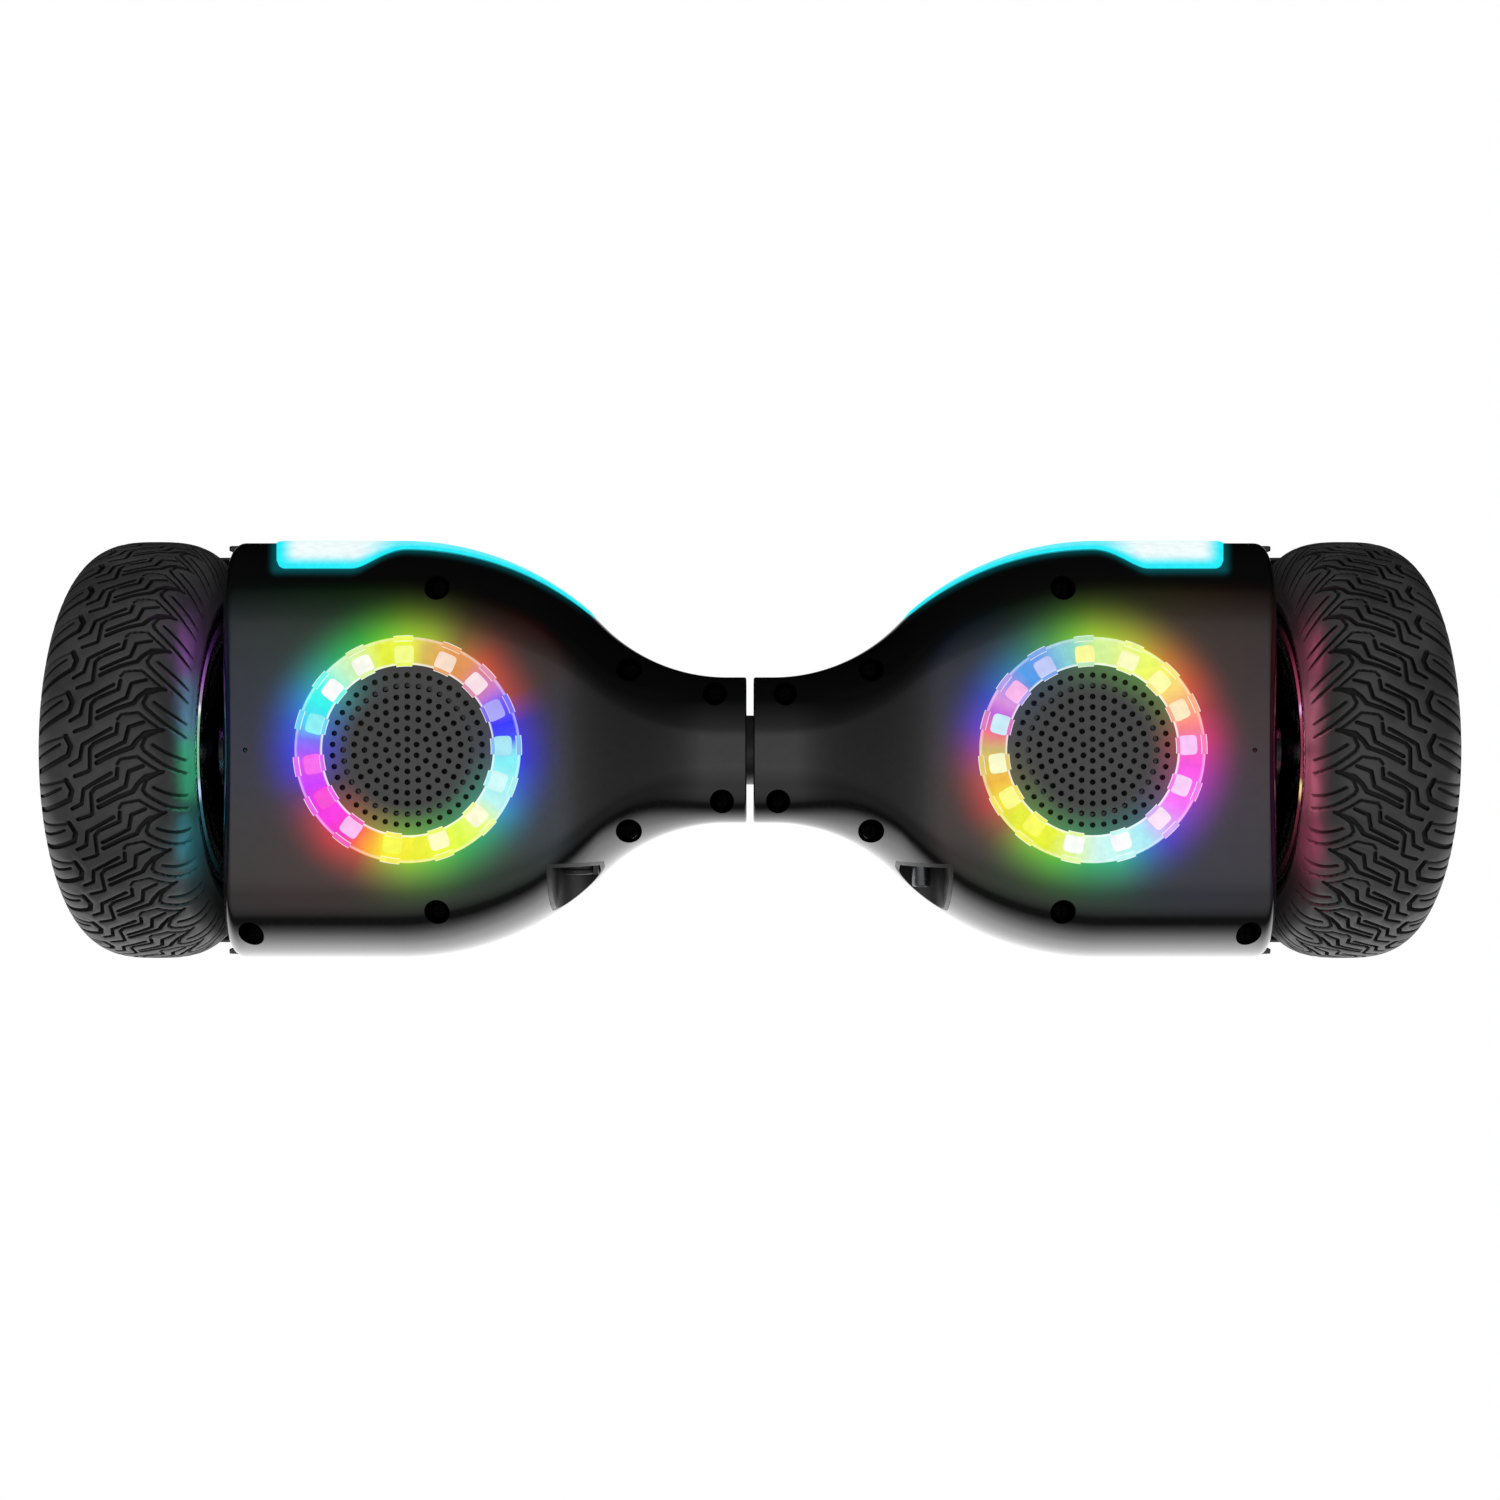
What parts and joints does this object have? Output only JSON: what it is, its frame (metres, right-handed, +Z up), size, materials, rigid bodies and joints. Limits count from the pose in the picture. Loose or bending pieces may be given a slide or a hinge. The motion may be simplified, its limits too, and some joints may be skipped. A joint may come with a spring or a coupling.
{
  "type": "self balancing hoverboard",
  "caption": "Two-wheeled self balancing board with twisting halves, hub motor wheels, foot pads, underside light rings and a front light bar.",
  "frame": {"origin": "on the ground, under the centre of the board", "axes": "+X along the wheel axle to the right half, -Y to the front with the light bars, +Z up"},
  "size_m": [0.572, 0.18, 0.1885],
  "materials": {
    "shell": "polished black injection moulding",
    "fender": "black injection moulding",
    "tyre": "moulded off-road tread",
    "rim": "gloss black over cast alloy",
    "cast_alloy": "as cast",
    "steel": "ground",
    "dark_steel": "black oxide",
    "motor_iron": "varnished laminations and copper",
    "pad_rubber": "matt ribbed",
    "cap_rubber": "soft",
    "board": "circuit board",
    "lamp_board": "white circuit board with lamps",
    "ring_light": "clear diffuser lit in many colours",
    "front_light": "diffuser lit cyan",
    "status_light": "clear window",
    "grille": "fine matt, perforated",
    "black_plastic": "moulded",
    "button": "grey moulding",
    "battery": "heat shrink sleeve",
    "bronze": "sintered"
  },
  "bodies": {
    "left_half": {"left_bottom_shell": "shell", "left_top_shell": "shell", "left_fender": "fender", "left_fender_screws": "dark_steel", "left_chassis": "cast_alloy", "left_axle_clamp": "cast_alloy", "left_clamp_bolts": "dark_steel", "left_axle": "steel", "left_stator": "motor_iron", "left_pad_buffers": "pad_rubber", "left_gyro_board": "board", "left_ring_lens": "ring_light", "left_ring_board": "lamp_board", "left_grille": "grille", "left_speaker": "black_plastic", "left_light_bar": "front_light", "left_shell_screws": "dark_steel", "battery_pack": "battery", "charge_socket": "black_plastic", "pivot_shaft": "steel", "pivot_ring": "dark_steel", "pivot_collar": "black_plastic", "wire_harness": "black_plastic", "status_lens": "status_light"},
    "right_half": {"right_bottom_shell": "shell", "right_top_shell": "shell", "right_fender": "fender", "right_fender_screws": "dark_steel", "right_chassis": "cast_alloy", "right_axle_clamp": "cast_alloy", "right_clamp_bolts": "dark_steel", "right_axle": "steel", "right_stator": "motor_iron", "right_pad_buffers": "pad_rubber", "right_gyro_board": "board", "right_ring_lens": "ring_light", "right_ring_board": "lamp_board", "right_grille": "grille", "right_speaker": "black_plastic", "right_light_bar": "front_light", "right_shell_screws": "dark_steel", "main_board": "board", "button_housing": "black_plastic", "pivot_bushes": "bronze"},
    "left_wheel": {"left_tyre": "tyre", "left_rim": "rim", "left_magnets": "steel", "left_hub_cover": "rim", "left_hub_screws": "steel", "left_bearings": "steel"},
    "right_wheel": {"right_tyre": "tyre", "right_rim": "rim", "right_magnets": "steel", "right_hub_cover": "rim", "right_hub_screws": "steel", "right_bearings": "steel"},
    "left_pad": {"left_foot_pad": "pad_rubber"},
    "right_pad": {"right_foot_pad": "pad_rubber"},
    "power_button": {"power_button": "button"},
    "port_cap": {"port_cap": "cap_rubber"}
  },
  "joints": [
    {"name": "middle_twist", "type": "hinge", "parent": "left_half", "child": "right_half", "pos_m": [0, 0, 0.09], "axis": [1, 0, 0], "range_deg": [-12, 12]},
    {"name": "left_wheel_spin", "type": "hinge", "parent": "left_half", "child": "left_wheel", "pos_m": [-0.255, 0, 0.09], "axis": [1, 0, 0], "continuous": true},
    {"name": "right_wheel_spin", "type": "hinge", "parent": "right_half", "child": "right_wheel", "pos_m": [0.255, 0, 0.09], "axis": [1, 0, 0], "continuous": true},
    {"name": "left_pad_press", "type": "slide", "parent": "left_half", "child": "left_pad", "axis": [0, 0, -1], "range_m": [0, 0.0015], "stiffness_N_per_m": 20000, "deforming": ["left_pad_buffers"]},
    {"name": "right_pad_press", "type": "slide", "parent": "right_half", "child": "right_pad", "axis": [0, 0, -1], "range_m": [0, 0.0015], "stiffness_N_per_m": 20000, "deforming": ["right_pad_buffers"]},
    {"name": "power_button_press", "type": "slide", "parent": "right_half", "child": "power_button", "axis": [0, -1, 0], "range_m": [0, 0.0015], "stiffness_N_per_m": 800},
    {"name": "port_cap_open", "type": "hinge", "parent": "left_half", "child": "port_cap", "pos_m": [-0.0648, 0.0512, 0.063], "axis": [0, 0, -1], "range_deg": [0, 90]}
  ]
}
